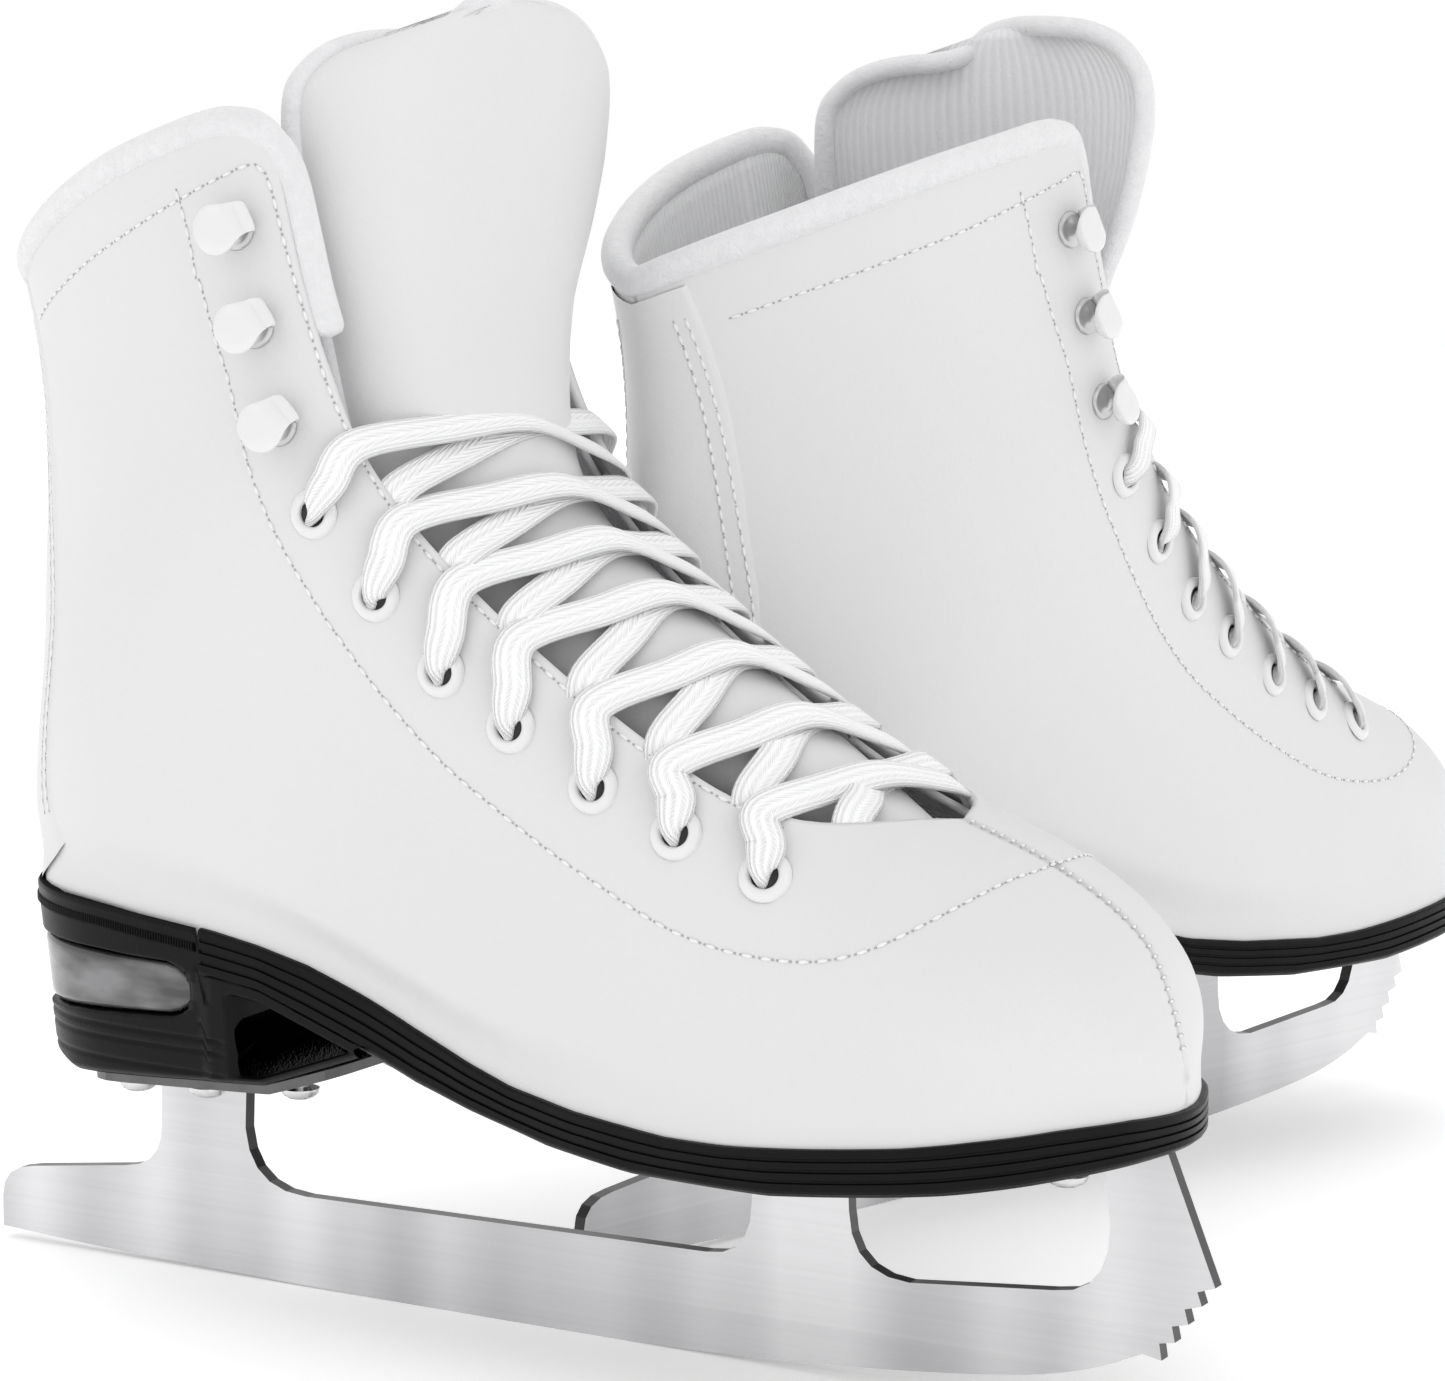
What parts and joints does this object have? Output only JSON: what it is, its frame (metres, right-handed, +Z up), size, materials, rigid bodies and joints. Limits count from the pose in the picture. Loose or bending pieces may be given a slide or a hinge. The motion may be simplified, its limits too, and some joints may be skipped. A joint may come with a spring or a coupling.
{
  "type": "pair of figure skates",
  "caption": "Pair of white lace-up figure skates with black heeled soles and toe-pick steel blades, heels together and toes apart.",
  "frame": {"origin": "on the ice under the right skate's blade, at the front end of the flat that it stands on", "axes": "+X from the right heel to the right toe, +Y to the skater's left, +Z up"},
  "size_m": [0.2752, 0.3507, 0.2623],
  "materials": {
    "blade_steel": "brushed along the blade, dark cut edges",
    "plate_steel": "plated sheet steel, satin",
    "screw_steel": "bright domed heads",
    "black_sole": "semi-gloss moulded, fine grooves",
    "clear_insert": "smoky see-through moulding",
    "fibre_board": "pressed fibre",
    "white_leather": "smooth coated, very fine grain, low gloss",
    "grey_fleece": "short soft pile with fine ribs",
    "white_enamel": "gloss enamel over brass",
    "white_lace": "flat woven",
    "clear_tip": "clear film tip",
    "white_thread": "twisted sewing thread",
    "hook_steel": "bare inner face of the hooks"
  },
  "bodies": {
    "right_skate": {"right_blade": "blade_steel", "right_front_plate": "plate_steel", "right_heel_plate": "plate_steel", "right_front_screws": "screw_steel", "right_heel_screws": "screw_steel", "right_outsole": "black_sole", "right_heel_block": "black_sole", "right_heel_window": "clear_insert", "right_heel_band": "black_sole", "right_insole_board": "fibre_board", "right_shank": "plate_steel", "right_outer_quarter": "white_leather", "right_inner_quarter": "white_leather", "right_heel_counter": "fibre_board", "right_toe_puff": "fibre_board", "right_eyelet_facings": "white_leather", "right_backstay": "white_leather", "right_collar_binding": "grey_fleece", "right_lining": "grey_fleece", "right_footbed": "grey_fleece", "right_tongue_base": "white_leather", "right_eyelets": "white_enamel", "right_hooks": "white_enamel", "right_lace": "white_lace", "right_lace_tips": "clear_tip"},
    "right_tongue_top": {"right_tongue": "white_leather", "right_tongue_lining": "grey_fleece", "right_tongue_binding": "grey_fleece"},
    "left_skate": {"left_blade": "blade_steel", "left_front_plate": "plate_steel", "left_heel_plate": "plate_steel", "left_front_screws": "screw_steel", "left_heel_screws": "screw_steel", "left_outsole": "black_sole", "left_heel_block": "black_sole", "left_heel_window": "clear_insert", "left_heel_band": "black_sole", "left_insole_board": "fibre_board", "left_shank": "plate_steel", "left_outer_quarter": "white_leather", "left_inner_quarter": "white_leather", "left_heel_counter": "fibre_board", "left_toe_puff": "fibre_board", "left_eyelet_facings": "white_leather", "left_backstay": "white_leather", "left_collar_binding": "grey_fleece", "left_lining": "grey_fleece", "left_footbed": "grey_fleece", "left_tongue_base": "white_leather", "left_eyelets": "white_enamel", "left_hooks": "white_enamel", "left_lace": "white_lace", "left_lace_tips": "clear_tip"},
    "left_tongue_top": {"left_tongue": "white_leather", "left_tongue_lining": "grey_fleece", "left_tongue_binding": "grey_fleece"}
  },
  "joints": [
    {"name": "right_tongue_fold", "type": "hinge", "parent": "right_skate", "child": "right_tongue_top", "pos_m": [-0.014, 0, 0.167], "axis": [0, 1, 0], "range_deg": [0, 25]},
    {"name": "left_lift", "type": "slide", "parent": "right_skate", "child": "left_skate", "axis": [0, 0.5, 0.866], "range_m": [0, 0.15]},
    {"name": "left_tongue_fold", "type": "hinge", "parent": "left_skate", "child": "left_tongue_top", "pos_m": [0.01191, 0.16361, 0.167], "axis": [-0.9563, 0.2924, 0], "range_deg": [0, 25]}
  ]
}
